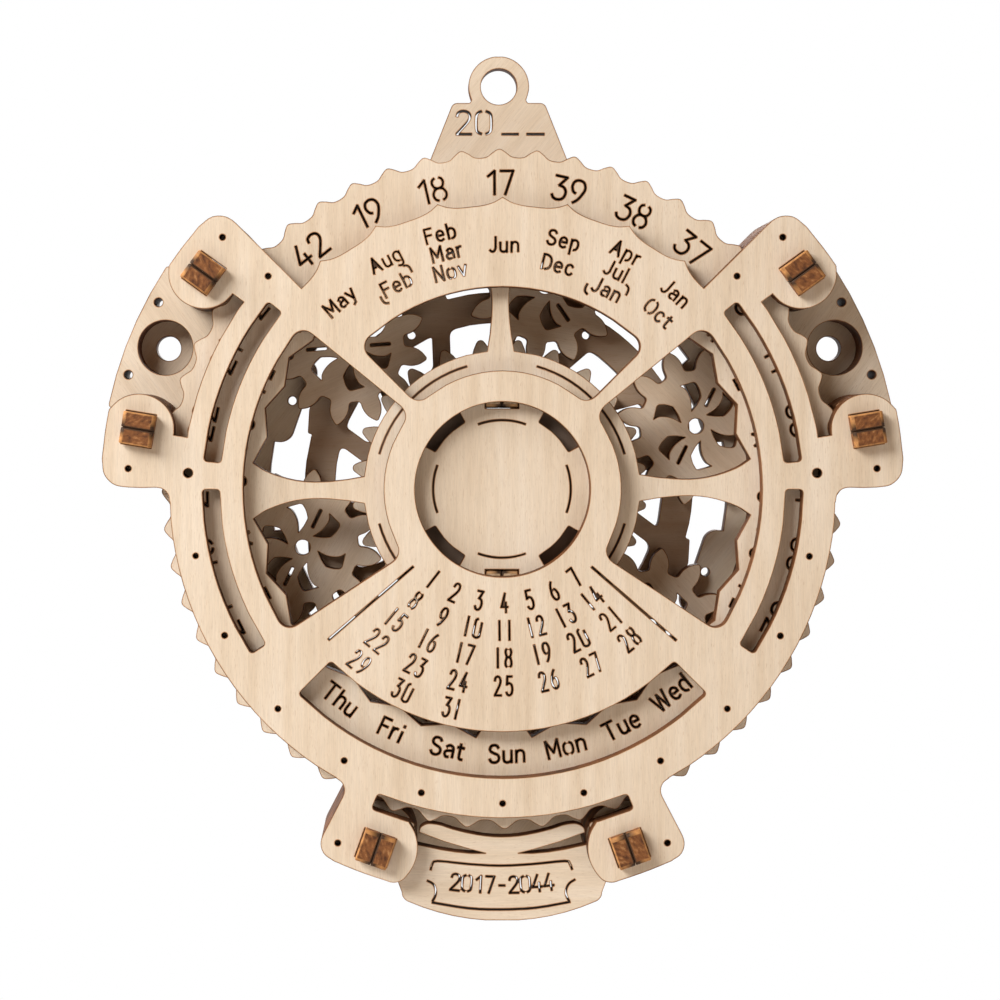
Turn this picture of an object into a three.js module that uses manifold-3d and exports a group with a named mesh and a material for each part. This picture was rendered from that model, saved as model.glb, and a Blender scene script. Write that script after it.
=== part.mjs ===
// Perpetual calendar of laser-cut plywood: a stack of seven sheets with a turning dial,
// a floating planetary gear train behind it, and pairs of clips that hold the stack together.
// Millimetres. Every piece is drawn flat, as it is cut from the sheet: x to the right and
// y up on the sheet, angles from the right, heights from the back face of the stack.
// The whole stack is then stood upright, so that the reader looks along +Y.
import * as THREE from 'three';
import { mergeVertices } from 'three/addons/utils/BufferGeometryUtils.js';
import Module from 'manifold-3d';

const wasm = await Module();
wasm.setup();

// Sheets of the stack
const sheet = 3.6;
const seam = 0.1;
const overrun = 1;
const running = 0.3;
const level = sheet + seam;
const arcError = 0.1;

// Levels of the stack, counted from the back
const backLevel = 0;
const gearLevel = 1;
const flangeLevel = 2;
const middleLevel = 3;
const bearingLevel = 4;
const dialLevel = 5;
const frontLevel = 6;
const stackHeight = frontLevel * level + sheet;

// Gear train: six planets between the fixed sun gear and the ring gear on the dial
const orbitRadius = 49.9;
const planets = 6;
const planetAngle = 17.143;
const sunTeeth = 24;
const planetTeeth = 12;
const ringTeeth = sunTeeth + 2 * planetTeeth;
const pressureAngle = 25;
const addendum = 2.55;
const tipClearance = 0.5;
const backlash = 0.5;
const moduleSize = (2 * orbitRadius) / (sunTeeth + planetTeeth);
const pitchRadius = (teeth) => (moduleSize * teeth) / 2;
const sunTip = pitchRadius(sunTeeth) + addendum;
const planetTip = pitchRadius(planetTeeth) + addendum;
const sunRoot = orbitRadius - planetTip - tipClearance;
const planetRoot = orbitRadius - sunTip - tipClearance;
const ringTip = orbitRadius + planetRoot + tipClearance;
const ringRoot = orbitRadius + planetTip + tipClearance;

// Drum on the back of the dial: ring gear and spacer rings
const ringWall = 5.9;
const drumOuter = ringRoot + ringWall;

// Dial: wavy rim, ring of labels with a pointed inner edge, spokes and hub ring
const labels = 28;
const rimStep = 4.6;
const rimCrest = drumOuter + rimStep;
const waveDepth = 2;
const rimValley = rimCrest - waveDepth;
const waveExponent = 1.6;
const dialAngle = 0.45;
const labelBand = 18.9;
const labelRingPoint = drumOuter - labelBand;
const labelRingDepth = 2.3;
const labelRingNotch = labelRingPoint + labelRingDepth;
const drumStep = 1.1;
const drumInner = labelRingNotch + drumStep;
const dialHubOuter = 32.6;
const spokes = 4;
const spokeWaistShare = 0.475;
const spokeWaist = dialHubOuter + (labelRingPoint - dialHubOuter) * spokeWaistShare;
const spokeHalfWidth = 2;
const spokeOuterFlare = 3.1;
const spokeInnerFlare = 1.2;

// Ring that lies on the planets and keeps them in their plane
const retainerLap = 1.6;
const retainerWidth = 5.4;
const retainerOuter = ringTip + retainerLap;
const retainerInner = retainerOuter - retainerWidth;

// Hub
const hubDisc = 23.7;
const dialBore = hubDisc + running;
const hubLap = 3.2;
const hubHole = hubDisc - hubLap;
const bearingLap = 4.2;
const bearingFlange = dialBore + bearingLap;
const flangeLap = 1.5;
const sunFlange = orbitRadius - planetTip + flangeLap;
const hubSlotRim = 2.1;
const hubSlotWidth = 3.7;
const hubSlotOuter = hubDisc - hubSlotRim;
const hubSlotInner = hubSlotOuter - hubSlotWidth;
const hubSlotAngle = 45;
const hubSlotHalfAngle = 16;
const hubSlotCorner = 0.4;

// Front plate: from its rim inwards to the hub ring
const plateInset = 2.2;
const plateOuter = rimCrest - plateInset;
const notchDepth = 3.1;
const plateNotch = plateOuter - notchDepth;
const scallopStep = 6.4;
const scallopDepth = 1.9;
const scallopCrest = plateNotch - scallopStep;
const scallopValley = scallopCrest - scallopDepth;
const slotRim = 4.6;
const slotWidth = 4.1;
const slotOuter = plateNotch - slotRim;
const slotInner = slotOuter - slotWidth;
const slotCorner = 1;
const upperSlotAngles = [5.4, 38.7];
const lowerSlotAngles = [-33.2, 0];
const sideWindowRim = 5.4;
const sideWindowOuter = slotInner - sideWindowRim;
const sideWindowAngles = [-33.4, 39.2];
const monthBand = 19.1;
const topWindowOuter = scallopValley - monthBand;
const topWindowHalfAngle = 45;
const windowCorner = 3.6;
const dayRim = 10.4;
const dayWindowWidth = 10.8;
const dayWindowOuter = plateOuter - dayRim;
const dayWindowInner = dayWindowOuter - dayWindowWidth;
const dayWindowHalfAngle = 45;
const hubPlateLap = 3.8;
const hubPlateOuter = dialBore + hubPlateLap;

// Ears at the sides: each has two pairs of clips
const earLowAngle = 0.3;
const earHighAngle = 45;
const earMiddleAngle = (earLowAngle + earHighAngle) / 2;
const earClipAngle = 13.25;
const earClipReach = 6.1;
const earClipRadius = rimCrest + earClipReach;
const earReach = 13.8;
const earOuter = rimCrest + earReach;
const earDisc = 8.3;
const earCorner = 6.5;
const earCapAngle = 2.5;
const earCapLapAngle = 5;
const rimRoom = 0.9;

// Feet at the bottom: each has one pair of clips
const footHighAngle = -62.5;
const footClipAngle = -70.5;
const footPlateLowAngle = -75.5;
const footSlotAngle = -67.7;
const footClipReach = 8.7;
const footClipRadius = rimCrest + footClipReach;
const footReach = 15.3;
const footOuter = rimCrest + footReach;
const footDisc = 9.8;
const footCorner = 5;
const footSlotStep = 1.1;
const footSlotWidth = 3.9;
const footSlotInner = plateOuter - footSlotStep;
const footSlotOuter = footSlotInner + footSlotWidth;
const gusset = 3.4;

// Clips
const clipPly = 3.75;
const clipSeam = 0.1;
const clipShank = 6.8;
const clipBarb = 0.45;
const clipStand = 3;
const clipTaper = 0.5;
const clipFit = 0.15;
const clipPair = 2 * clipPly + clipSeam;
const hubClipWidth = 3.4;
const hubClipRim = 2.9;
const hubClipSink = 0.3;
const hubClipRadius = hubDisc - hubClipRim;

// Side plates
const sideReach = 2.4;
const sideOuter = earOuter + sideReach;
const sideHalfAngle = 11.1;
const sideCorner = 1;
const drumRoom = 1;
const sideInner = drumOuter + drumRoom;
const screwReach = 7.2;
const screwRadius = rimCrest + screwReach;
const screwRecess = 6.6;
const screwHole = 3;
const pinHole = 1.05;
const sidePinRim = 2.8;
const sidePinRadius = sideOuter - sidePinRim;
const sidePinAngle = 5.8;

// Base wheel behind the planets
const bandInset = 2.5;
const bandWidth = 7.4;
const baseWindow = 7.2;
const bandOuter = orbitRadius - bandInset;
const bandInner = bandOuter - bandWidth;
const baseHub = bandInner - baseWindow;
const roofs = 8;
const roofHalfAngle = 7;
const roofShoulder = 1;
const roofPeak = 2.7;
const basePins = 6;
const basePinRim = 4.8;
const baseSpokes = 14;
const baseSpokeWidth = 4.4;
const baseSpokeInnerAngle = 91;
const baseSpokeOuterAngle = 84;

// Back plate
const backStep = 1.5;
const backOuter = drumOuter + backStep;
const lobeRoom = 1.7;
const lobeDepth = 4.1;
const lobeInner = bandOuter + roofPeak + lobeRoom;
const backInner = lobeInner + lobeDepth;
const lobeHalfAngle = 11.3;
const lobePinRim = 2.8;

// Top tab with the hanging loop
const tabReach = 16.6;
const shoulderY = backOuter + tabReach;
const shoulderHalfWidth = 11.1;
const tabSink = 5;
const tabRootHalfWidth = 19.8;
const tabCorner = 1;
const loopRise = 4;
const loopY = shoulderY + loopRise;
const loopHole = 4.4;
const loopRing = 3;
const loopOuter = loopHole + loopRing;
const loopFillet = 1.5;

// Bottom plate with its spring
const footPlateStep = 1.1;
const footPlateInner = rimCrest + footPlateStep;
const yearHalfWidth = 23.6;
const yearCornerReach = 16.3;
const yearCornerY = rimCrest + yearCornerReach;
const yearDrop = 5.3;
const yearCorner = 1.5;
const springTouch = rimCrest + running;
const springReach = 5.7;
const springBack = springTouch + springReach;
const springHalfAngle = 13.6;

// Flat outlines

const origin = new THREE.Vector2(0, 0);
const radians = (angle) => THREE.MathUtils.degToRad(angle);
const degrees = (angle) => THREE.MathUtils.radToDeg(angle);
const at = (radius, angle) => new THREE.Vector2(
  radius * Math.cos(radians(angle)),
  radius * Math.sin(radians(angle)),
);
const mirrored = (points) => points.map((p) => new THREE.Vector2(-p.x, p.y)).reverse();

// How far apart points may be on an arc, in degrees, to stay close to the true curve.
const arcStep = (radius) => 2 * degrees(Math.acos(1 - arcError / radius));

// Points along an arc about the dial's axis.
function arc(radius, from, to) {
  const count = Math.max(1, Math.ceil(Math.abs(to - from) / arcStep(radius)));
  const points = [];
  for (let i = 0; i <= count; i += 1) {
    points.push(at(radius, from + ((to - from) * i) / count));
  }
  return points;
}

// A full circle about any centre.
function circle(radius, centre = origin, fewest = 24) {
  const sides = Math.max(fewest, Math.ceil(360 / arcStep(radius)));
  const points = [];
  for (let i = 0; i < sides; i += 1) {
    points.push(at(radius, (360 * (i + 0.5)) / sides).add(centre));
  }
  return points;
}

// A bend from one point to another, pulled towards the corner between them.
const bend = (start, corner, end, steps = 3) => new THREE.QuadraticBezierCurve(
  start,
  corner,
  end,
).getPoints(steps);

// A shape between two radii and two angles, with rounded corners.
function sector(inner, outer, from, to, innerCorner, outerCorner) {
  const innerTurn = degrees(innerCorner / inner);
  const outerTurn = degrees(outerCorner / outer);
  return [
    ...bend(at(inner + innerCorner, to), at(inner, to), at(inner, to - innerTurn)),
    ...arc(inner, to - innerTurn, from + innerTurn).slice(1, -1),
    ...bend(at(inner, from + innerTurn), at(inner, from), at(inner + innerCorner, from)),
    ...bend(at(outer - outerCorner, from), at(outer, from), at(outer, from + outerTurn)),
    ...arc(outer, from + outerTurn, to - outerTurn).slice(1, -1),
    ...bend(at(outer, to - outerTurn), at(outer, to), at(outer - outerCorner, to)),
  ];
}

// The hole of a locating pin.
const pin = (centre) => circle(pinHole, centre, 8);

// A straight bar of even width from one point to another.
function bar(start, end, width) {
  const side = end.clone().sub(start).normalize().multiplyScalar(width / 2);
  const across = new THREE.Vector2(-side.y, side.x);
  return [
    start.clone().sub(across),
    end.clone().sub(across),
    end.clone().add(across),
    start.clone().add(across),
  ];
}

// A rectangle that lies along a radius, its middle on that radius.
const block = (radius, angle, along, across) => bar(
  at(radius - along / 2, angle),
  at(radius + along / 2, angle),
  across,
);

// The concave bend between the plate's rim and the straight side of an ear or foot.
function gussetBend(angle, side) {
  const turn = side * degrees(gusset / plateOuter);
  const outer = plateOuter + gusset;
  const inner = plateOuter - gusset;
  return [
    ...bend(at(outer, angle), at(plateOuter, angle), at(plateOuter, angle + turn)),
    at(inner, angle + turn),
    at(inner, angle - turn),
    at(outer, angle - turn),
  ];
}

// Solids

// A three.js geometry as a solid that can be joined and cut.
function solidFrom(geometry) {
  geometry.deleteAttribute('normal');
  geometry.deleteAttribute('uv');
  const merged = mergeVertices(geometry);
  return new wasm.Manifold(new wasm.Mesh({
    numProp: 3,
    vertProperties: new Float32Array(merged.attributes.position.array),
    triVerts: new Uint32Array(merged.index.array),
  }));
}

// A flat piece with the given outline, between two heights.
function plate(points, low, high) {
  const geometry = new THREE.ExtrudeGeometry(new THREE.Shape(points), {
    depth: high - low,
    bevelEnabled: false,
  });
  geometry.translate(0, 0, low);
  return solidFrom(geometry);
}

// One or more sheets of the stack: all outlines joined, less all cuts.
function stacked(firstLevel, outlines, cuts, sheets = 1) {
  const low = firstLevel * level;
  const high = low + (sheets - 1) * level + sheet;
  const whole = outlines
    .map((points) => plate(points, low, high))
    .reduce((body, next) => body.add(next));
  return cuts
    .map((points) => plate(points, low - overrun, high + overrun))
    .reduce((body, cut) => body.subtract(cut), whole);
}

// Materials
const ply = (colour, roughness) => new THREE.MeshStandardMaterial({
  color: colour,
  roughness,
  metalness: 0,
});
const facePly = ply(0xe6cfb0, 0.7);
const dialPly = ply(0xdcc19d, 0.7);
const innerPly = ply(0xc9a981, 0.75);
const burntPly = ply(0x8a5a2e, 0.8);

// The stack lies on its back while it is built, and is then stood upright.
const calendar = new THREE.Group();
calendar.name = 'perpetual_calendar';
calendar.rotation.x = Math.PI / 2;

function addPiece(name, solid, material, parent = calendar) {
  const { vertProperties, triVerts } = solid.getMesh();
  const geometry = new THREE.BufferGeometry();
  geometry.setAttribute('position', new THREE.BufferAttribute(vertProperties, 3));
  geometry.setIndex(new THREE.BufferAttribute(triVerts, 1));
  geometry.computeVertexNormals();
  const mesh = new THREE.Mesh(geometry, material);
  mesh.name = name;
  parent.add(mesh);
}

// The same piece for the right and, turned over, for the left.
function addBothSides(nameOf, firstLevel, outlines, cuts, material, sheets = 1) {
  addPiece(nameOf('right'), stacked(firstLevel, outlines, cuts, sheets), material);
  addPiece(nameOf('left'), stacked(
    firstLevel,
    outlines.map(mirrored),
    cuts.map(mirrored),
    sheets,
  ), material);
}
const bothSides = (outlines) => [...outlines, ...outlines.map(mirrored)];

// Clip slots: every sheet at an ear or a foot has one for each pair of clips
const clipPlaces = {
  upper_right: { radius: earClipRadius, angle: earMiddleAngle + earClipAngle },
  lower_right: { radius: earClipRadius, angle: earMiddleAngle - earClipAngle },
  foot_right: { radius: footClipRadius, angle: footClipAngle },
  upper_left: { radius: earClipRadius, angle: 180 - earMiddleAngle - earClipAngle },
  lower_left: { radius: earClipRadius, angle: 180 - earMiddleAngle + earClipAngle },
  foot_left: { radius: footClipRadius, angle: 180 - footClipAngle },
};
const clipSlot = ({ radius, angle }, width = clipShank) => block(
  radius,
  angle,
  width + 2 * clipFit,
  clipPair + 2 * clipFit,
);
const clipSlots = Object.values(clipPlaces).map((place) => clipSlot(place));
const hubClipPlaces = {
  top: { radius: hubClipRadius, angle: 90 },
  bottom: { radius: hubClipRadius, angle: 270 },
};
const hubClipSlots = Object.values(hubClipPlaces).map((place) => clipSlot(place, hubClipWidth));

// Outlines that the front plate, the blocks and the back plate share
const clipDisc = ({ radius, angle }, size, limit) => circle(size, at(radius, angle)).map(
  (p) => p.clampLength(0, limit),
);
const earCap = ({ radius, angle }, below, above) => sector(
  radius,
  earOuter,
  angle - below,
  angle + above,
  slotCorner,
  slotCorner,
);
const upperEar = (inner) => [
  sector(inner, earOuter, clipPlaces.upper_right.angle, earHighAngle, slotCorner, earCorner),
  clipDisc(clipPlaces.upper_right, earDisc, earOuter),
  earCap(clipPlaces.upper_right, earCapAngle, earCapLapAngle),
];
const lowerEar = (inner) => [
  sector(inner, earOuter, earLowAngle, clipPlaces.lower_right.angle, slotCorner, earCorner),
  clipDisc(clipPlaces.lower_right, earDisc, earOuter),
  earCap(clipPlaces.lower_right, earCapLapAngle, earCapAngle),
];
const foot = (inner) => [
  sector(inner, footOuter, footClipAngle, footHighAngle, slotCorner, footCorner),
  clipDisc(clipPlaces.foot_right, footDisc, footOuter),
];

// Front plate: scalloped upper edge under the years, ears, feet, windows and label slots
function scallopedEdge() {
  const pitch = 360 / labels;
  const shares = [-0.5, -0.3, -0.12, 0, 0.12, 0.3];
  const points = [];
  for (let label = -3; label <= 3; label += 1) {
    shares.forEach((share) => {
      const rise = scallopDepth * (1 - 2 * Math.abs(share)) ** 3;
      points.push(at(scallopValley + rise, 90 + (label + share) * pitch));
    });
  }
  points.push(at(scallopValley, 90 + topWindowHalfAngle));
  return points;
}
const plateBody = [
  ...arc(plateNotch, earLowAngle, 90 - topWindowHalfAngle),
  ...scallopedEdge(),
  ...arc(plateNotch, 90 + topWindowHalfAngle, 180 - earLowAngle),
  ...arc(plateOuter, 180 - earLowAngle, 360 + earLowAngle),
];
const window = (inner, outer, middle, halfAngle, corner) => sector(
  inner,
  outer,
  middle - halfAngle,
  middle + halfAngle,
  corner,
  corner,
);
const sideWindow = sector(
  hubPlateOuter,
  sideWindowOuter,
  ...sideWindowAngles,
  windowCorner,
  windowCorner,
);
const labelSlot = (angles) => sector(slotInner, slotOuter, ...angles, slotCorner, slotCorner);
addPiece('front_plate', stacked(frontLevel, [
  plateBody,
  ...bothSides([
    ...upperEar(slotInner),
    ...lowerEar(slotInner),
    ...foot(scallopCrest),
    gussetBend(earLowAngle, -1),
    gussetBend(footHighAngle, 1),
  ]),
], [
  circle(hubHole),
  window(hubPlateOuter, topWindowOuter, 90, topWindowHalfAngle, windowCorner),
  window(dayWindowInner, dayWindowOuter, 270, dayWindowHalfAngle, slotCorner),
  window(footSlotInner, footSlotOuter, 270, 90 + footSlotAngle, slotCorner),
  ...bothSides([sideWindow, labelSlot(upperSlotAngles), labelSlot(lowerSlotAngles)]),
  ...clipSlots,
]), facePly);

// Dial disc: the wavy rim, and windows between four spokes that flare at both ends
function wavyRim() {
  const stepsPerWave = 6;
  const waves = 2 * labels;
  const points = [];
  for (let i = 0; i < waves * stepsPerWave; i += 1) {
    const swing = 0.5 + 0.5 * Math.cos((2 * Math.PI * i) / stepsPerWave);
    const radius = rimValley + waveDepth * swing ** waveExponent;
    points.push(at(radius, 90 + dialAngle + (360 * i) / (waves * stepsPerWave)));
  }
  return points;
}
function spokeSide(radius) {
  const outwards = radius > spokeWaist;
  const end = outwards ? labelRingPoint : dialHubOuter;
  const flare = outwards ? spokeOuterFlare : spokeInnerFlare;
  const share = (radius - spokeWaist) / (end - spokeWaist);
  return degrees(Math.asin((spokeHalfWidth + flare * share * share) / radius));
}
function dialWindow(start) {
  const end = start + 360 / spokes;
  const steps = 6;
  const radii = [];
  for (let i = 0; i <= steps; i += 1) {
    radii.push(dialHubOuter + ((labelRingPoint - dialHubOuter) * i) / steps);
  }
  const points = radii.map((radius) => at(radius, start + spokeSide(radius)));
  const halfPitch = 180 / labels;
  for (let i = 1; i * halfPitch < 360 / spokes; i += 1) {
    points.push(at(i % 2 ? labelRingNotch : labelRingPoint, start + i * halfPitch));
  }
  const hubTurn = spokeSide(dialHubOuter);
  return [
    ...points,
    ...radii.reverse().map((radius) => at(radius, end - spokeSide(radius))),
    ...arc(dialHubOuter, end - hubTurn, start + hubTurn).slice(1, -1),
  ];
}
const dialWindows = [];
for (let i = 0; i < spokes; i += 1) {
  dialWindows.push(dialWindow(dialAngle + (360 * i) / spokes));
}
addPiece('dial_disc', stacked(dialLevel, [wavyRim()], [
  circle(dialBore),
  ...dialWindows,
]), dialPly);

// Spacer rings of the drum; the last one leaves room for the ring on the planets
const spacerRings = [
  [bearingLevel, drumInner],
  [middleLevel, drumInner],
  [flangeLevel, retainerOuter + running],
];
spacerRings.forEach(([place, inner], index) => addPiece(
  `dial_spacer_ring_${index + 1}`,
  stacked(place, [circle(drumOuter)], [circle(inner)]),
  innerPly,
));

// Half the angle of a tooth at a radius, in degrees; slack is the play on its two sides.
function halfTooth(teeth, radius, slack) {
  const involute = (pressure) => Math.tan(pressure) - pressure;
  const flank = radians(pressureAngle);
  const base = pitchRadius(teeth) * Math.cos(flank);
  const pressure = Math.acos(Math.min(1, base / radius));
  const atPitch = Math.PI / (2 * teeth) - slack / (4 * pitchRadius(teeth));
  return degrees(atPitch + involute(flank) - involute(pressure));
}

// A gear's outline. The profile lists heights on a tooth as shares of its whole height,
// and how much of the involute tooth's width is left there.
function gearOutline(teeth, start, end, profile, slack, firstTooth) {
  const points = [];
  const side = (middle, sign) => profile.map(([height, width]) => {
    const radius = start + (end - start) * height;
    return at(radius, middle + sign * width * halfTooth(teeth, radius, slack));
  });
  for (let i = 0; i < teeth; i += 1) {
    const middle = firstTooth + (360 * i) / teeth;
    points.push(...side(middle, -1), ...side(middle, 1).reverse());
  }
  return points;
}
const roundedTooth = [[0, 1.1], [0.35, 1], [0.78, 0.97], [1, 0.45]];
const ringSpace = [[0, 1.04], [0.5, 1], [1, 0.8]];

// Sun gear: fixed to the hub, with a gap between two teeth at the top
const sunFirstTooth = 90 + 180 / sunTeeth;
addPiece('sun_gear', stacked(
  gearLevel,
  [gearOutline(sunTeeth, sunRoot, sunTip, roundedTooth, backlash, sunFirstTooth)],
  hubClipSlots,
), innerPly);

// Where a planet at the given angle has its first tooth, so that it meshes with the sun
function planetFirstTooth(angle) {
  const sunTeethAway = (angle - sunFirstTooth) / (360 / sunTeeth);
  return angle + 180 - (360 / planetTeeth) * (0.5 - sunTeethAway);
}

// Ring gear: the back of the drum, in mesh with the same planets
const planetTeethAway = (planetAngle - planetFirstTooth(planetAngle)) / (360 / planetTeeth);
const ringFirstSpace = planetAngle - (360 / ringTeeth) * planetTeethAway;
addPiece('ring_gear', stacked(
  gearLevel,
  [circle(drumOuter)],
  [gearOutline(ringTeeth, ringTip, ringRoot, ringSpace, -backlash, ringFirstSpace)],
), innerPly);

// Planet gears: each is drawn with its x axis pointing away from the dial's axis
const planetHole = 1.85;
const petals = 6;
const petalTip = 10.4;
const petalAngle = 34;
const slitInner = 5.3;
const slitLength = 4.9;
const slitWidth = 0.7;
const slitAngle = 47;
function petal(angle) {
  const point = (share, turn) => at(petalTip * share, angle - turn);
  const tip = point(1, 0);
  const heel = point(1.03, 20);
  const root = point(0.365, 5);
  const back = new THREE.SplineCurve([heel, point(0.7, 31), root]);
  const front = new THREE.SplineCurve([root, point(0.62, 10), point(0.87, 6), tip]);
  return [...back.getPoints(4), ...front.getPoints(4).slice(1, -1), tip];
}
const petalOutlines = [];
for (let i = 0; i < petals; i += 1) {
  petalOutlines.push(petal(petalAngle + (360 * i) / petals));
}
const slitMiddle = slitInner + slitLength / 2;
const slits = [slitAngle, slitAngle + 180].map((angle) => block(
  slitMiddle,
  angle,
  slitLength,
  slitWidth,
));
for (let i = 0; i < planets; i += 1) {
  const angle = planetAngle + (360 * i) / planets;
  const centre = at(orbitRadius, angle);
  const place = new THREE.Group();
  place.position.set(centre.x, centre.y, 0);
  place.rotation.z = radians(angle);
  calendar.add(place);
  const firstTooth = planetFirstTooth(angle) - angle;
  addPiece(`planet_gear_${i + 1}`, stacked(
    gearLevel,
    [gearOutline(planetTeeth, planetRoot, planetTip, roundedTooth, backlash, firstTooth)],
    [circle(planetHole, origin, 12), ...petalOutlines, ...slits],
  ), dialPly, place);
}

// Retaining ring: lies loose in the drum, on the planets, and goes round with them
addPiece('planet_retaining_ring', stacked(
  flangeLevel,
  [circle(retainerOuter)],
  [circle(retainerInner)],
), innerPly);

// Hub: the disc that the dial turns on, and the spacers between it and the sun gear
const hubSlots = [];
for (let i = 0; i < spokes; i += 1) {
  const middle = hubSlotAngle + (360 * i) / spokes;
  hubSlots.push(window(hubSlotInner, hubSlotOuter, middle, hubSlotHalfAngle, hubSlotCorner));
}
addPiece('hub_disc', stacked(
  dialLevel,
  [circle(hubDisc)],
  [...hubSlots, ...hubClipSlots],
), facePly);
const hubSpacers = [
  [bearingLevel, bearingFlange],
  [middleLevel, bearingFlange],
  [flangeLevel, sunFlange],
];
hubSpacers.forEach(([place, radius], index) => addPiece(
  `hub_spacer_${index + 1}`,
  stacked(place, [circle(radius)], hubClipSlots),
  innerPly,
));

// Base wheel: fixed behind the planets; a band with low roofs on slanted spokes
const roofOutlines = [];
for (let i = 0; i < roofs; i += 1) {
  const middle = (360 * (i + 0.5)) / roofs;
  roofOutlines.push([
    at(bandInner, middle - roofHalfAngle),
    at(bandOuter + roofShoulder, middle - roofHalfAngle),
    at(bandOuter + roofPeak, middle),
    at(bandOuter + roofShoulder, middle + roofHalfAngle),
    at(bandInner, middle + roofHalfAngle),
  ]);
}
const baseSpokeOutlines = [];
for (let i = 0; i < baseSpokes; i += 1) {
  const turn = (360 * i) / baseSpokes;
  baseSpokeOutlines.push(bar(
    at(baseHub - baseSpokeWidth / 2, baseSpokeInnerAngle + turn),
    at(bandInner + baseSpokeWidth / 2, baseSpokeOuterAngle + turn),
    baseSpokeWidth,
  ));
}
const baseCuts = [...hubClipSlots];
for (let i = 0; i < basePins; i += 1) {
  baseCuts.push(pin(at(bandOuter - basePinRim, (360 * i) / basePins)));
}
const band = stacked(backLevel, [circle(bandOuter), ...roofOutlines], [
  circle(bandInner),
  ...baseCuts,
]);
const star = stacked(backLevel, [circle(baseHub), ...baseSpokeOutlines], baseCuts);
addPiece('base_wheel', band.add(star), innerPly);

// Side plates: two sheets on each side with the recess for a screw head
const screwPlace = at(screwRadius, earMiddleAngle);
const sideOutlines = (inner) => [
  sector(inner, earOuter, earLowAngle, earHighAngle, sideCorner, earCorner),
  window(inner, sideOuter, earMiddleAngle, sideHalfAngle, sideCorner),
];
const sidePins = [-sidePinAngle, sidePinAngle].map((turn) => pin(
  at(sidePinRadius, earMiddleAngle + turn),
));
const sideCuts = [
  circle(screwRecess, screwPlace),
  ...sidePins,
  clipSlot(clipPlaces.upper_right),
  clipSlot(clipPlaces.lower_right),
];
const sideSheets = { front: flangeLevel, back: gearLevel };
Object.entries(sideSheets).forEach(([place, sideLevel]) => addBothSides(
  (side) => `side_plate_${side}_${place}`,
  sideLevel,
  sideOutlines(sideInner),
  sideCuts,
  facePly,
));

// Back plate: rim with inward lobes, screw floors, feet and the tab with the hanging loop
function lobedOpening() {
  const points = [];
  const turn = degrees(lobeDepth / lobeInner);
  for (let i = 0; i < roofs; i += 1) {
    const middle = (360 * (i + 0.5)) / roofs;
    const from = middle - lobeHalfAngle;
    const to = middle + lobeHalfAngle;
    const next = from + 360 / roofs;
    points.push(
      ...bend(at(backInner, from), at(lobeInner, from), at(lobeInner, from + turn)),
      ...arc(lobeInner, from + turn, to - turn).slice(1, -1),
      ...bend(at(lobeInner, to - turn), at(lobeInner, to), at(backInner, to)),
      ...arc(backInner, to, next).slice(1, -1),
    );
  }
  return points;
}
const lobePins = [];
for (let i = 0; i < roofs; i += 1) {
  lobePins.push(pin(at(lobeInner + lobePinRim, (360 * (i + 0.5)) / roofs)));
}
const tabSide = [
  new THREE.Vector2(tabRootHalfWidth, backOuter - tabSink),
  ...bend(
    new THREE.Vector2(shoulderHalfWidth + tabCorner / 2, shoulderY - tabCorner),
    new THREE.Vector2(shoulderHalfWidth, shoulderY),
    new THREE.Vector2(shoulderHalfWidth - tabCorner, shoulderY),
  ),
];
const loopSide = [
  new THREE.Vector2(loopOuter, shoulderY - loopFillet),
  new THREE.Vector2(loopOuter + loopFillet, shoulderY),
  ...bend(
    new THREE.Vector2(loopOuter, shoulderY),
    new THREE.Vector2(loopOuter - loopFillet / 2, shoulderY),
    new THREE.Vector2(loopOuter - loopFillet / 2, shoulderY + loopFillet),
  ),
];
const loopPlace = new THREE.Vector2(0, loopY);
addPiece('back_plate', stacked(backLevel, [
  circle(backOuter),
  ...bothSides([...sideOutlines(drumOuter), ...foot(drumOuter)]),
  sector(drumOuter, footOuter, -180 - footClipAngle, footClipAngle, slotCorner, slotCorner),
  [...tabSide, ...mirrored(tabSide)],
  [...loopSide, ...mirrored(loopSide)],
  circle(loopOuter, loopPlace),
], [
  lobedOpening(),
  circle(loopHole, loopPlace),
  ...bothSides([circle(screwHole, screwPlace, 16), ...sidePins]),
  ...lobePins,
  ...clipSlots,
]), facePly);

// Ear blocks and foot blocks: they hold the front plate off the sheets behind
const earBlockSheets = dialLevel - middleLevel + 1;
const footBlockSheets = bearingLevel - gearLevel + 1;
const rimClear = circle(rimCrest + rimRoom);
Object.entries({ upper: upperEar, lower: lowerEar }).forEach(([height, outlines]) => addBothSides(
  (side) => `ear_block_${height}_${side}`,
  middleLevel,
  outlines(rimCrest),
  [rimClear, clipSlot(clipPlaces[`${height}_right`])],
  innerPly,
  earBlockSheets,
));
addBothSides(
  (side) => `foot_block_${side}`,
  gearLevel,
  foot(footPlateInner),
  [clipSlot(clipPlaces.foot_right)],
  innerPly,
  footBlockSheets,
);

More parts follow.
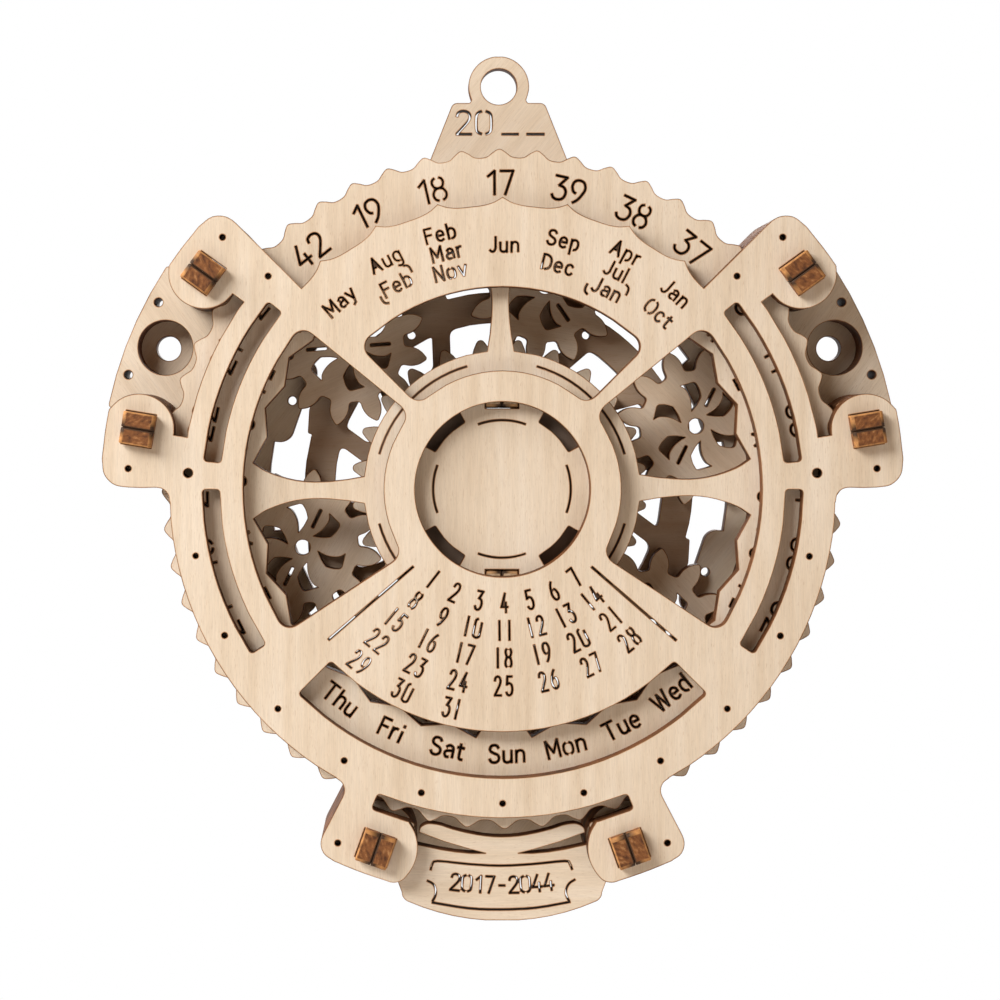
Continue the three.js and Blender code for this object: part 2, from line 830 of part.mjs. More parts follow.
// Bottom plate: its two-armed spring rests on the waves of the dial's rim
const yearSide = [
  ...arc(springBack, -90, footClipAngle).slice(1),
  ...bend(
    new THREE.Vector2(yearHalfWidth, -yearCornerY + yearCorner),
    new THREE.Vector2(yearHalfWidth, -yearCornerY),
    new THREE.Vector2(yearHalfWidth - yearCorner, -yearCornerY - yearCorner / 2),
  ),
  ...bend(
    new THREE.Vector2(yearHalfWidth - yearCorner, -yearCornerY - yearCorner / 2),
    new THREE.Vector2(yearHalfWidth / 2, -yearCornerY - yearDrop),
    new THREE.Vector2(0, -yearCornerY - yearDrop),
    6,
  ).slice(1, -1),
];
const springShares = [
  [0.136, 1], [0.379, 0.842], [0.682, 0.667], [1, 0.49],
  [1, 0.316], [0.947, 0.105], [0.818, 0], [0.606, 0.088], [0.303, 0.21], [0.1, 0.26],
];
const springSide = springShares.map(([turn, reach]) => at(
  springTouch + springReach * reach,
  -90 + springHalfAngle * turn,
)).reverse();
const neckTurn = springHalfAngle * springShares[0][0];
const neck = arc(springBack + springReach / 2, -90 + neckTurn, -90 - neckTurn);
addPiece('bottom_plate', stacked(dialLevel, [
  [...yearSide, ...mirrored(yearSide)],
  [...springSide, ...neck, ...mirrored(springSide)],
  ...bothSides([
    sector(footPlateInner, footOuter, footPlateLowAngle, footHighAngle, slotCorner, footCorner),
  ]),
], [
  clipSlot(clipPlaces.foot_right),
  clipSlot(clipPlaces.foot_left),
]), dialPly);

// Clips: two halves side by side in a slot, with barbs that hook over the front plate
function clipHalf(width, barb, top, stand) {
  const half = width / 2;
  const side = [
    new THREE.Vector2(half, 0),
    new THREE.Vector2(half, top),
    new THREE.Vector2(half + barb, top),
    new THREE.Vector2(half + barb, top + stand - clipTaper),
    new THREE.Vector2(half + barb - clipTaper, top + stand),
  ];
  const geometry = new THREE.ExtrudeGeometry(new THREE.Shape([...side, ...mirrored(side)]), {
    depth: clipPly,
    bevelEnabled: false,
  });
  geometry.translate(0, 0, -clipPly / 2);
  geometry.rotateX(Math.PI / 2);
  return geometry;
}
function addClipPair(name, { radius, angle }, geometryOf) {
  const centre = at(radius, angle);
  const pair = new THREE.Group();
  pair.position.set(centre.x, centre.y, 0);
  pair.rotation.z = radians(angle);
  calendar.add(pair);
  Object.entries({ a: 1, b: -1 }).forEach(([half, side]) => {
    const geometry = geometryOf();
    geometry.translate(0, (side * (clipPly + clipSeam)) / 2, 0);
    addPiece(`${name}_${half}`, solidFrom(geometry), burntPly, pair);
  });
}
Object.entries(clipPlaces).forEach(([name, place]) => addClipPair(
  `clip_${name}`,
  place,
  () => clipHalf(clipShank, clipBarb, stackHeight + seam, clipStand),
));
const hubClipTop = dialLevel * level + sheet - hubClipSink - clipTaper;
Object.entries(hubClipPlaces).forEach(([name, place]) => addClipPair(
  `hub_clip_${name}`,
  place,
  () => clipHalf(hubClipWidth, 0, hubClipTop, clipTaper),
));

export default calendar;
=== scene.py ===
import math
import bmesh
import bpy
from mathutils import Matrix, Vector
from mathutils.geometry import delaunay_2d_cdt
from mathutils.kdtree import KDTree


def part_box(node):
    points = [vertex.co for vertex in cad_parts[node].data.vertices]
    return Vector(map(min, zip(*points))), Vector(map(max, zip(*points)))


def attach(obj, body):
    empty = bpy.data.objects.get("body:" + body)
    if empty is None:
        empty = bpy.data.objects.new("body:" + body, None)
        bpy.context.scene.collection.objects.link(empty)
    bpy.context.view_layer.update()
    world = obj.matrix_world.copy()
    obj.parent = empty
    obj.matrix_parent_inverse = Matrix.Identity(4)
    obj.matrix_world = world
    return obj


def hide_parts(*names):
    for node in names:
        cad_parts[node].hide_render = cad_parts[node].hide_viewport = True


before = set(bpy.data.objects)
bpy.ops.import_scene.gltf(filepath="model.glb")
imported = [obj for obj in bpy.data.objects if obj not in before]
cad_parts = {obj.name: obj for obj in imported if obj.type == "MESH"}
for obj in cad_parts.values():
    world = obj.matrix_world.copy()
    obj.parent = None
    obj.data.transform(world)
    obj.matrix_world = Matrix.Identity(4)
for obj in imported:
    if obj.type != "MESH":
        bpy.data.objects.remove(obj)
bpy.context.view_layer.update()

# ---------------------------------------------------------------- Back plate
# The rearmost sheet: a rim with inward lobes, the floors of the screw recesses, and the
# tab with the hanging loop and the first two digits of the year. Thin birch plywood, cut
# by laser, so that every cut has a burnt wall and a thin brown halo on the face.
MM = 0.001
FUSE = 0.005 * MM


def paint(red, green, blue):
    """A linear colour from the 0 to 255 values of a paint chart."""
    chart = [part / 255 for part in (red, green, blue)]
    return tuple(((p + 0.055) / 1.055) ** 2.4 if p > 0.04045 else p / 12.92 for p in chart) + (1,)


def cut_rims(node):
    """The outlines of a CAD sheet's front face, as closed lists of (x, z) points."""
    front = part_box(node)[0].y + FUSE
    work = bmesh.new()
    work.from_mesh(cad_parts[node].data)
    bmesh.ops.remove_doubles(work, verts=work.verts, dist=FUSE)
    face_up = [f for f in work.faces if all(v.co.y < front for v in f.verts)]
    facing = set(face_up)
    follow = {}
    for face in face_up:
        for corner in face.loops:
            if sum(f in facing for f in corner.edge.link_faces) == 1:
                follow[corner.vert] = corner.link_loop_next.vert
    rims = []
    while follow:
        start = vert = next(iter(follow))
        rim = []
        while vert in follow:
            rim.append(Vector((vert.co.x, vert.co.z)))
            vert = follow.pop(vert)
        winding = sum(a.cross(b) for a, b in zip(rim, rim[1:] + rim[:1]))
        rims.append(rim if winding > 0 else rim[::-1])
    work.free()
    return rims


CORNER = math.radians(60)
SOFT_CORNER = math.radians(20)
LONG_EDGE = 3.2 * MM
UNEVEN = 2.5
BEND_STEP = math.radians(5)
MOST_PARTS = 5


def eased(rim):
    """A rim with more points wherever the laser ran a curve, so that no flat step shows."""
    steps = [rim[(i + 1) % len(rim)] - p for i, p in enumerate(rim)]
    lengths = [step.length for step in steps]

    def heading(i, own):
        before, after = steps[i - 1], steps[i % len(rim)]
        short, long = sorted((lengths[i - 1], lengths[i % len(rim)]))
        turn = before.angle(after)
        if turn > CORNER or (turn > SOFT_CORNER and short > LONG_EDGE):
            return own.normalized()
        if long > UNEVEN * short:
            return max((before, after), key=lambda s: s.length).normalized()
        level = before.normalized() * after.length + after.normalized() * before.length
        return level.normalized()

    smooth = []
    for i, a in enumerate(rim):
        b = rim[(i + 1) % len(rim)]
        leave, arrive = heading(i, steps[i]), heading(i + 1, steps[i])
        bend = leave.angle(steps[i]) + arrive.angle(steps[i])
        parts = min(1 + int(bend / BEND_STEP), MOST_PARTS)
        for part in range(parts):
            t = part / parts
            smooth.append(
                a * (2 * t**3 - 3 * t**2 + 1)
                + leave * lengths[i] * (t**3 - 2 * t**2 + t)
                + b * (3 * t**2 - 2 * t**3)
                + arrive * lengths[i] * (t**3 - t**2)
            )
    return smooth


KERF = 0.46 * MM
MITRE = 0.6


def kerf(path, width=KERF):
    """The patches that the laser burns away along a path."""
    legs = [(b - a).normalized() for a, b in zip(path, path[1:])]
    walls = []
    for i, point in enumerate(path):
        before, after = legs[max(i - 1, 0)], legs[min(i, len(legs) - 1)]
        along = (before + after).normalized()
        across = Vector((-along.y, along.x)) * width / 2 / max(along.dot(after), MITRE)
        walls.append((point + across, point - across))
    patches = []
    for a, b in zip(walls, walls[1:]):
        for patch in ([a[0], a[1], b[1]], [a[0], b[1], b[0]]):
            winding = (patch[1] - patch[0]).cross(patch[2] - patch[0])
            patches.append(patch if winding > 0 else patch[::-1])
    return patches


CURVE_PARTS = 3


def curved(points):
    """A flowing line through a few points."""
    ends = [points[0] * 2 - points[1]] + points + [points[-1] * 2 - points[-2]]
    line = []
    for a, b, c, d in zip(ends, ends[1:], ends[2:], ends[3:]):
        for part in range(CURVE_PARTS):
            t = part / CURVE_PARTS
            line.append(
                (b * 2 + (c - a) * t + (a * 2 - b * 5 + c * 4 - d) * t**2
                 + (b * 3 - a - c * 3 + d) * t**3) / 2
            )
    return line + [points[-1]]


OVERLAP = 0.3 * KERF


def straight(points):
    """A line with corners, as runs that overlap a little where it turns."""
    runs = []
    for a, b in zip(points, points[1:]):
        over = (b - a).normalized() * OVERLAP
        runs.append([a - over, b + over])
    return runs


def settle(points, patches, extra):
    """The plan cut into triangles: keeps what lies in the first patch and in no other."""
    plan, _, triangles, _, _, inside = delaunay_2d_cdt(
        points + extra, [], patches, 0, FUSE / 10, True
    )
    kept = [t for t, owners in zip(triangles, inside) if set(owners) == {0}]
    return plan, kept


def open_edges(triangles):
    """The sides of the triangles that no other triangle shares: the rims of the sheet."""
    sides = {}
    for a, b, c in triangles:
        for side in ((a, b), (b, c), (c, a)):
            sides[side] = True
    return [side for side in sides if (side[1], side[0]) not in sides]


def finder(points):
    """Finds the nearest of many points of a plan."""
    tree = KDTree(len(points))
    for k, p in enumerate(points):
        tree.insert((p.x, p.y, 0), k)
    tree.balance()
    return tree


SCRAP = 9 * MM * MM


def without_scraps(plan, triangles):
    """Drops what falls out of the sheet where a cut closes on itself."""
    root = {}

    def find(v):
        while root.setdefault(v, v) != v:
            root[v] = root[root[v]]
            v = root[v]
        return v

    for a, b, c in triangles:
        root[find(b)] = find(a)
        root[find(c)] = find(a)
    area = {}
    for t in triangles:
        a, b, c = (plan[v] for v in t)
        area[find(t[0])] = area.get(find(t[0]), 0) + abs((b - a).cross(c - a)) / 2
    return [t for t in triangles if area[find(t[0])] > SCRAP]


HALO = 0.34 * MM
HALO_STEP = 0.9 * MM
HALO_ROOM = 0.5 * HALO
HALO_CLEAR = 0.85 * HALO
MARK_STEP = 0.6 * HALO
FAN_STEP = math.radians(40)


def halo_points(plan, edges):
    """Points just inside every cut, where the brown of the burn has faded out."""
    marks, tries = [], []
    leaving = {a: plan[b] - plan[a] for a, b in edges}
    for a, b in edges:
        start, end = plan[a], plan[b]
        length = (end - start).length
        if length < FUSE:
            continue
        inward = Vector((start.y - end.y, end.x - start.x)).normalized() * HALO
        for k in range(int(length / MARK_STEP) + 1):
            marks.append(start.lerp(end, k * MARK_STEP / length))
        count = max(1, round(length / HALO_STEP))
        tries += [start.lerp(end, (k + 0.5) / count) + inward for k in range(count)]
        after = leaving.get(b)
        if after and after.length > FUSE:
            turn = inward.angle_signed(Vector((-after.y, after.x)))
            fan = 1 + int(abs(turn) / FAN_STEP)
            for k in range(fan + 1):
                spoke = inward.copy()
                spoke.rotate(Matrix.Rotation(-turn * k / fan, 2))
                tries.append(end + spoke)
    cuts = finder(marks)
    kept, taken = [], {}
    for p in tries:
        i, j = round(p.x / HALO_ROOM), round(p.y / HALO_ROOM)
        near = any(
            (q - p).length < HALO_ROOM
            for a in (-1, 0, 1) for b in (-1, 0, 1) for q in taken.get((i + a, j + b), ())
        )
        if not near and cuts.find((p.x, p.y, 0))[2] > HALO_CLEAR:
            kept.append(p)
            taken.setdefault((i, j), []).append(p)
    return kept


def mark(mesh, name, values):
    """Notes a value at each point of a mesh, for its finish to read."""
    mesh.attributes.new(name, "FLOAT", "POINT").data.foreach_set("value", values)


SHARP_EDGE = math.radians(30)


def place_piece(name, mesh, node, body):
    """Puts a mesh in the scene in the place of its CAD node."""
    mesh.shade_smooth()
    mesh.set_sharp_from_angle(angle=SHARP_EDGE)
    piece = bpy.data.objects.new(name, mesh)
    bpy.context.scene.collection.objects.link(piece)
    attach(piece, body)
    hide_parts(node)


def cut_sheet(node, body, veneer, cuts=(), soft=0.0):
    """One sheet as the laser leaves it: the CAD outline made smooth, with its thin cuts."""
    low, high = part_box(node)
    rims = cut_rims(node)
    if soft:
        rims = [rounded(rim, soft) for rim in rims]
    rims = sorted((eased(rim) for rim in rims), key=lambda r: min(p.x for p in r))
    points, patches = [], []
    for outline in rims + [patch for cut in cuts for patch in cut]:
        patches.append(list(range(len(points), len(points) + len(outline))))
        points += outline
    points = [
        Vector((min(max(p.x, low.x), high.x), min(max(p.y, low.z), high.z))) for p in points
    ]
    plan, triangles = settle(points, patches, [])
    triangles = without_scraps(plan, triangles)
    halo = halo_points(plan, open_edges(triangles))
    plan, triangles = settle(points, patches, halo)
    triangles = without_scraps(plan, triangles)
    used = sorted({v for t in triangles for v in t})
    place = {v: i for i, v in enumerate(used)}
    count = len(used)
    triangles = [tuple(place[v] for v in t) for t in triangles]
    rim_edges = open_edges(triangles)
    verts = [(plan[v].x, low.y, plan[v].y) for v in used]
    verts += [(plan[v].x, high.y, plan[v].y) for v in used]
    faces = triangles + [(c + count, b + count, a + count) for a, b, c in triangles]
    walls = [(b, a, a + count, b + count) for a, b in rim_edges]
    mesh = bpy.data.meshes.new(node + "_sheet")
    mesh.from_pydata(verts, [], faces + walls)
    burnt = {v for edge in rim_edges for v in edge}
    mark(mesh, "scorch", [1.0 if i in burnt else 0.0 for i in range(count)] * 2)
    mark(mesh, "layers", [0.0] * count + [1.0] * count)
    # Points off the outline lie on thin cuts, whose walls get painted shade as deep in a slit.
    outline = finder([p for rim in rims for p in rim])
    narrow = [float(outline.find((plan[v].x, plan[v].y, 0))[2] > FUSE) for v in used]
    mark(mesh, "narrow", narrow * 2)
    mesh.materials.append(veneer)
    mesh.materials.append(laser_wall)
    for polygon in mesh.polygons[len(faces):]:
        polygon.material_index = 1
    place_piece(node + "_sheet", mesh, node, body)


def step_node(tree, kind, setup=None, **inputs):
    """Adds one shader node; an input is a plain value or another node's output."""
    node = tree.nodes.new("ShaderNode" + kind)
    for key, value in (setup or {}).items():
        setattr(node, key, value)
    for key, value in inputs.items():
        numbered = key[0] == "i" and key[1:].isdigit()
        socket = node.inputs[int(key[1:]) if numbered else key.replace("_", " ")]
        if isinstance(value, bpy.types.NodeSocket):
            tree.links.new(value, socket)
        else:
            socket.default_value = value
    return node


def grain_noise(tree, place, along, across, detail=3.0, roughness=0.55):
    """Noise drawn out along the grain, between 0 and 1."""
    stretched = step_node(
        tree, "Mapping", Vector=place, Scale=(1 / across, 1 / across, 1 / along)
    )
    noise = step_node(
        tree, "TexNoise", Vector=stretched.outputs[0], Scale=1.0,
        Detail=detail, Roughness=roughness,
    )
    return noise.outputs["Fac"]


def ramp(tree, value, *stops):
    """A colour or a share that runs through a few stops as the value goes from 0 to 1."""
    node = step_node(tree, "ValToRGB", Fac=value)
    band = node.color_ramp
    while len(band.elements) < len(stops):
        band.elements.new(0.5)
    for element, (place, colour) in zip(band.elements, stops):
        element.position = place
        element.color = colour if isinstance(colour, tuple) else (colour, colour, colour, 1)
    return node.outputs["Color"]


def mix(tree, share, a, b, blend="MIX"):
    """One colour laid over another by a share."""
    setup = {"data_type": "RGBA", "blend_type": blend}
    return step_node(tree, "Mix", setup, i0=share, i6=a, i7=b).outputs[2]


def blend_values(tree, share, a, b):
    """One plain value laid over another by a share."""
    return step_node(tree, "Mix", {"data_type": "FLOAT"}, i0=share, i2=a, i3=b).outputs[0]


def maths(tree, operation, a, b):
    """A sum of two values, held between 0 and 1."""
    setup = {"operation": operation, "use_clamp": True}
    return step_node(tree, "Math", setup, i0=a, i1=b).outputs[0]


def marked(tree, name):
    """What a mesh notes at a point under one of its marks."""
    return step_node(tree, "Attribute", {"attribute_name": name}).outputs["Fac"]


def new_finish(name):
    """A new finish: its material, node tree, shader, and the place on the piece."""
    material = bpy.data.materials.new(name)
    material.use_nodes = True
    tree = material.node_tree
    here = step_node(tree, "TexCoord").outputs["Object"]
    return material, tree, tree.nodes["Principled BSDF"], here


def relief(tree, shader, height, strength, depth):
    """Fine relief of the surface, from a height between 0 and 1."""
    bump = step_node(tree, "Bump", Strength=strength, Distance=depth, Height=height)
    tree.links.new(bump.outputs[0], shader.inputs["Normal"])


BIRCH_PALE = paint(239, 227, 211)
BIRCH_WARM = paint(229, 213, 192)
BIRCH_VEIN = paint(207, 185, 158)
FLECK = paint(176, 140, 104)
TOAST = paint(188, 128, 66)
CHAR = paint(40, 22, 10)
BURN = paint(70, 36, 16)
BURN_PALE = paint(126, 78, 42)
SOOT_AND_SLIT_SHADE = paint(36, 22, 13)


def birch_face(name, grain=0.0, seed=0.0, tone=0.5, painted_dark_shade=0.0, painted_warm_shade=0.0):
    """Sanded birch veneer: fine fibres, slow bands, short flecks, a halo at every cut, and painted
    shade, browner and darker, on a sheet that lies deep.
    """
    material, tree, shader, here = new_finish(name)
    place = step_node(
        tree, "Mapping", Vector=here,
        Location=(seed, seed * 0.7, seed * 0.3), Rotation=(0, math.radians(grain), 0),
    ).outputs[0]
    fibres = grain_noise(tree, place, along=5 * MM, across=0.28 * MM, detail=4.0, roughness=0.65)
    bands = grain_noise(tree, place, along=60 * MM, across=3.2 * MM)
    clouds = grain_noise(tree, place, along=34 * MM, across=14 * MM, detail=2.0)
    flecks = grain_noise(tree, place, along=1.6 * MM, across=0.16 * MM, detail=1.0)
    slow = blend_values(tree, 0.4, bands, clouds)
    warm_stop = 0.52 + 0.1 * (0.5 - tone)
    wood = ramp(tree, slow, (0.30, BIRCH_PALE), (warm_stop, BIRCH_WARM), (0.85, BIRCH_VEIN))
    streaks = ramp(tree, fibres, (0.35, 0.86), (0.62, 1.0))
    wood = mix(tree, 0.75, wood, streaks, "MULTIPLY")
    spots = ramp(tree, flecks, (0.64, 0.0), (0.74, 1.0))
    wood = mix(tree, maths(tree, "MULTIPLY", spots, 0.35), wood, FLECK)
    # Painted shade: a sheet that lies deep in shade is made warmer and darker in its colour.
    if painted_warm_shade:
        wood = mix(tree, maths(tree, "MULTIPLY", clouds, painted_warm_shade), wood, TOAST)
    if painted_dark_shade:
        share = maths(tree, "ADD", maths(tree, "MULTIPLY", clouds, 0.2), painted_dark_shade)
        wood = mix(tree, share, wood, BURN)
    smoke = maths(tree, "MULTIPLY", marked(tree, "scorch"), maths(tree, "ADD", clouds, 0.45))
    wood = mix(tree, ramp(tree, smoke, (0.08, 0.0), (0.66, 0.9)), wood, TOAST)
    wood = mix(tree, ramp(tree, smoke, (0.5, 0.0), (0.85, 0.95)), wood, CHAR)
    tree.links.new(wood, shader.inputs["Base Color"])
    rough = ramp(tree, fibres, (0.3, 0.55), (0.7, 0.72))
    tree.links.new(rough, shader.inputs["Roughness"])
    shader.inputs["Specular IOR Level"].default_value = 0.3
    relief(tree, shader, fibres, 0.35, 0.05 * MM)
    return material


STREAKS = 1 / (0.35 * MM)
STREAKS_DEEP = 120
SOOT_PATCHES = 180.0


def burnt_edge(name):
    """A laser-cut wall: three plies in browns, charred and streaked through the sheet, and painted
    near black along thin cuts for their char and the shade deep in the slit.
    """
    material, tree, shader, here = new_finish(name)
    plies = ramp(
        tree, marked(tree, "layers"), (0.0, 0.0), (0.07, 0.6), (0.31, 0.66), (0.36, 0.2),
        (0.62, 0.25), (0.67, 0.66), (0.93, 0.5), (1.0, 0.0)
    )
    wall = step_node(tree, "Mapping", Vector=here, Scale=(STREAKS, STREAKS_DEEP, STREAKS))
    pulses = step_node(
        tree, "TexNoise", Vector=wall.outputs[0], Scale=1.0, Detail=3.0, Roughness=0.6
    ).outputs["Fac"]
    patches = step_node(
        tree, "TexNoise", Vector=here, Scale=SOOT_PATCHES, Detail=2.0
    ).outputs["Fac"]
    brown = ramp(tree, blend_values(tree, 0.4, plies, pulses), (0.2, BURN), (0.65, BURN_PALE))
    brown = mix(tree, ramp(tree, patches, (0.42, 0.0), (0.66, 0.7)), brown, SOOT_AND_SLIT_SHADE)
    # Painted shade: the walls of thin cuts go near black, for their char and the shade deep in the
    # slit.
    brown = mix(tree, maths(tree, "MULTIPLY", marked(tree, "narrow"), 0.9), brown, SOOT_AND_SLIT_SHADE)
    tree.links.new(brown, shader.inputs["Base Color"])
    shader.inputs["Roughness"].default_value = 0.6
    shader.inputs["Specular IOR Level"].default_value = 0.25
    relief(tree, shader, pulses, 0.5, 0.08 * MM)
    return material


laser_wall = burnt_edge("laser_wall")

# "~" marks a flowing stroke. The strokes stop short of each other, so that no middle drops
# out. "ø", "I" and "B" are the narrow 0, 1 and 8 of the days.
STROKES = {
    "0": (6, "~2.1 9.9,0.7 9.2,0 7.6,0 2.4,0.7 0.8,2.1 0.1",
          "~3.9 9.9,5.3 9.2,6 7.6,6 2.4,5.3 0.8,3.9 0.1"),
    "ø": (6, "~2 10,0.5 9.4,0 8,0 2,0.6 0.6,3 0,5.4 0.6,6 2,6 8.3"),
    "1": (3.2, "0.2 7.7,3 10,3 0"),
    "I": (4.2, "2.1 10,2.1 0"),
    "2": (6, "~0.3 7.6,0.9 9.3,2.9 10,4.9 9.3,5.6 7.6,4.9 5.6,2.6 2.8,0.2 0.1", "0.2 0,6 0"),
    "3": (5.6, "0.4 10,5.2 10,2.4 6.1",
          "~2.4 6.1,4.4 5.7,5.6 4.2,5.6 2.2,4.6 0.6,2.7 0,0.9 0.5,0 1.9"),
    "4": (6.2, "3.6 10,0.2 2.8,6.2 2.8", "4.5 5.2,4.5 0"),
    "5": (5.6, "5 10,0.9 10,0.5 5.7", "~0.5 5.7,2.6 6.4,4.8 5.6,5.6 3.4,4.9 1,2.8 0,0.9 0.5,0 1.7"),
    "6": (5.6, "~4.2 10,2.2 8.2,0.4 4.9,0 2.8,0.9 0.7,2.8 0,4.8 0.7,5.6 2.9,4.8 5.1,3.6 5.8"),
    "7": (5.6, "0 10,5.4 10,2 0"),
    "8": (5.6, "~1.9 9.9,0.8 9.2,0.4 7.7,1.1 6,2.8 5.4,4.5 6,5.2 7.7,4.8 9.2,3.7 9.9",
          "~1.9 0.1,0.6 0.9,0 2.7,0.9 4.7,2.8 5.4,4.7 4.7,5.6 2.7,5 0.9,3.7 0.1"),
    "B": (5.6, "~1.2 9.8,0.4 9,0.2 7.7,1.1 6,2.8 5.4,4.5 6,5.4 7.7,5.2 9,4.4 9.8",
          "~1.2 0.2,0.2 1.2,0 2.7,0.9 4.7,2.8 5.4,4.7 4.7,5.6 2.7,5.4 1.2,4.4 0.2"),
    "9": (5.6, "~1.4 0,3.4 1.8,5.2 5.1,5.6 7.2,4.7 9.3,2.8 10,0.8 9.3,0 7.1,0.8 4.9,2 4.2"),
    "-": (3.4, "0 4.6,3.4 4.6"),
    "_": (7.6, "0 0,7.6 0"),
    "A": (6.4, "0 0,3.2 10,6.4 0", "1.1 3.3,3.2 3.3"),
    "D": (5.8, "0.2 0,0.2 10,2.4 10", "~2.4 10,4.6 9,5.8 6.8,5.8 3.2,4.6 1,2.4 0"),
    "F": (4.8, "0.2 0,0.2 10,4.8 10", "0.2 5.4,4.2 5.4"),
    "J": (4.4, "4.2 10,4.2 2.6", "~4.2 2.6,3.4 0.6,1.8 0,0.2 1.2"),
    "M": (7.2, "0.2 0,0.2 10,3.6 3,7 10,7 0"),
    "N": (6, "0.2 0,0.2 10,5.8 0,5.8 10"),
    "O": (6.8, "~2.3 9.9,0.8 8.8,0 6.6,0 3.4,0.8 1.2,2.3 0.1",
          "~4.5 9.9,6 8.8,6.8 6.6,6.8 3.4,6 1.2,4.5 0.1"),
    "S": (5.6, "~5.3 8.2,4.4 9.6,2.8 10,1.2 9.5,0.4 7.9,1 6.3,2.8 5.3,4.8 4.3,5.5 2.6,"
          "4.8 0.8,2.9 0,1 0.5,0 2.1"),
    "T": (6.4, "0 10,6.4 10", "3.2 10,3.2 0"),
    "W": (8.4, "0 10,2.1 0,4.2 9.4,6.3 0,8.4 10"),
    "a": (4.8, "~0.6 5.7,2.4 6.9,4.2 6.2,4.8 4.5,4.8 0",
          "~4.8 4,2.4 3.8,0.5 3,0.2 1.5,1.2 0.1,2.7 0.2"),
    "b": (5, "0.2 0,0.2 10", "~0.2 5,1.4 6.6,3 6.8,4.5 5.7,5 3.4,4.4 1,2.9 0,2.3 0"),
    "c": (4.6, "~4.6 5.4,3.6 6.6,2.2 6.8,0.7 5.8,0.1 3.4,0.7 1,2.2 0,3.6 0.2,4.6 1.4"),
    "d": (5, "4.8 0,4.8 10", "~4.8 5,3.6 6.6,2 6.8,0.5 5.7,0 3.4,0.6 1,2.1 0,2.7 0"),
    "e": (5, "2.4 3.6,4.8 3.6", "~4.8 3.6,4.5 5.7,2.7 6.9,0.8 5.9,0.1 3.4,0.8 0.9,2.8 0,4.6 0.9"),
    "g": (5, "~4.8 5,3.6 6.6,2 6.8,0.5 5.7,0 3.6,0.6 1.4,2.1 0.4,2.7 0.4",
          "~4.8 6.7,4.8 3,4.8 -1,4 -2.7,2.4 -3.2,0.6 -2.5"),
    "h": (4.8, "0.2 0,0.2 10", "~0.2 4.6,1.2 6.4,3 6.8,4.4 5.8,4.7 4,4.7 0"),
    "i": (0.6, "0.3 0,0.3 6.2", "0.3 9.3,0.3 10"),
    "l": (0.6, "0.3 0,0.3 10"),
    "n": (4.8, "0.2 0,0.2 6.7", "~0.2 4.6,1.2 6.4,3 6.8,4.4 5.8,4.7 4,4.7 0"),
    "o": (5.4, "~1.9 6.8,0.5 5.8,0 3.4,0.5 1,1.9 0", "~3.7 6.8,5 5.8,5.4 3.4,5 1,3.7 0"),
    "p": (5, "0.2 6.7,0.2 -3.2", "~0.2 5,1.4 6.6,3 6.8,4.5 5.7,5 3.4,4.4 1,2.9 0,2.3 0"),
    "r": (3.2, "0.2 0,0.2 6.7", "~0.2 4.2,1 6,2.2 6.8,3.2 6.6"),
    "t": (3.6, "~1.4 9,1.4 5,1.4 1.6,2 0.2,3.6 0.1", "0 6.7,3.4 6.7"),
    "u": (4.8, "~0.2 6.7,0.2 2.4,0.8 0.5,2.4 0,4 0.6,4.7 2.2", "4.7 6.7,4.7 0"),
    "v": (5, "0 6.7,2.5 0,5 6.7"),
    "y": (5, "0.1 6.7,2.7 0.2", "5 6.7,1.8 -2.4,0.3 -3.1"),
}


def lettering(text, centre, up, height, squeeze=1.0, gap=0.0, width=KERF):
    """The cuts of a word on a sheet, centred on a point, with the way up given."""
    unit = height / 10
    up = up.normalized()
    right = Vector((up.y, -up.x))
    advances = [STROKES[letter][0] * squeeze for letter in text]
    pen = -(sum(advances) + gap * (len(text) - 1)) / 2
    cuts = []
    for letter, advance in zip(text, advances):
        for stroke in STROKES[letter][1:]:
            pairs = [pair.split() for pair in stroke.lstrip("~").split(",")]
            line = [
                centre + right * (pen + float(x) * squeeze) * unit + up * (float(y) - 5) * unit
                for x, y in pairs
            ]
            runs = [curved(line)] if stroke[0] == "~" else straight(line)
            cuts += [kerf(run, width) for run in runs]
        pen += advance + gap
    return cuts


UPRIGHT = Vector((0, 1))
TAB_LINE = 85.97 * MM
TAB_CAP = 5.66 * MM
TAB_SQUEEZE = 1.06
TAB_DIGITS = {"2": -8.58 * MM, "0": -3.66 * MM}
TAB_DASHES = ((0.75 * MM, 4.8 * MM), (6.85 * MM, 11.1 * MM))
tab_cuts = []
for digit, x in TAB_DIGITS.items():
    middle = Vector((x, TAB_LINE + TAB_CAP / 2))
    tab_cuts += lettering(digit, middle, UPRIGHT, TAB_CAP, TAB_SQUEEZE)
for start, end in TAB_DASHES:
    tab_cuts.append(kerf([Vector((start, TAB_LINE)), Vector((end, TAB_LINE))]))
cut_sheet("back_plate", "frame", birch_face("back_plate_veneer", -40, 3.1), tab_cuts)

# ---------------------------------------------------------------- Base wheel and sun gear
# Fixed sheets of the same ply behind and inside the planets. The spoked wheel closes the back,
# the sun gear sits on the hub, and three spacers fill the hub up to the hub disc. The hub
# clips go through them all and hold them together.
ROUND_BEND = (math.radians(33), math.radians(115))
ROUND_STEP = math.radians(20)
EDGE_SHARE = 0.48


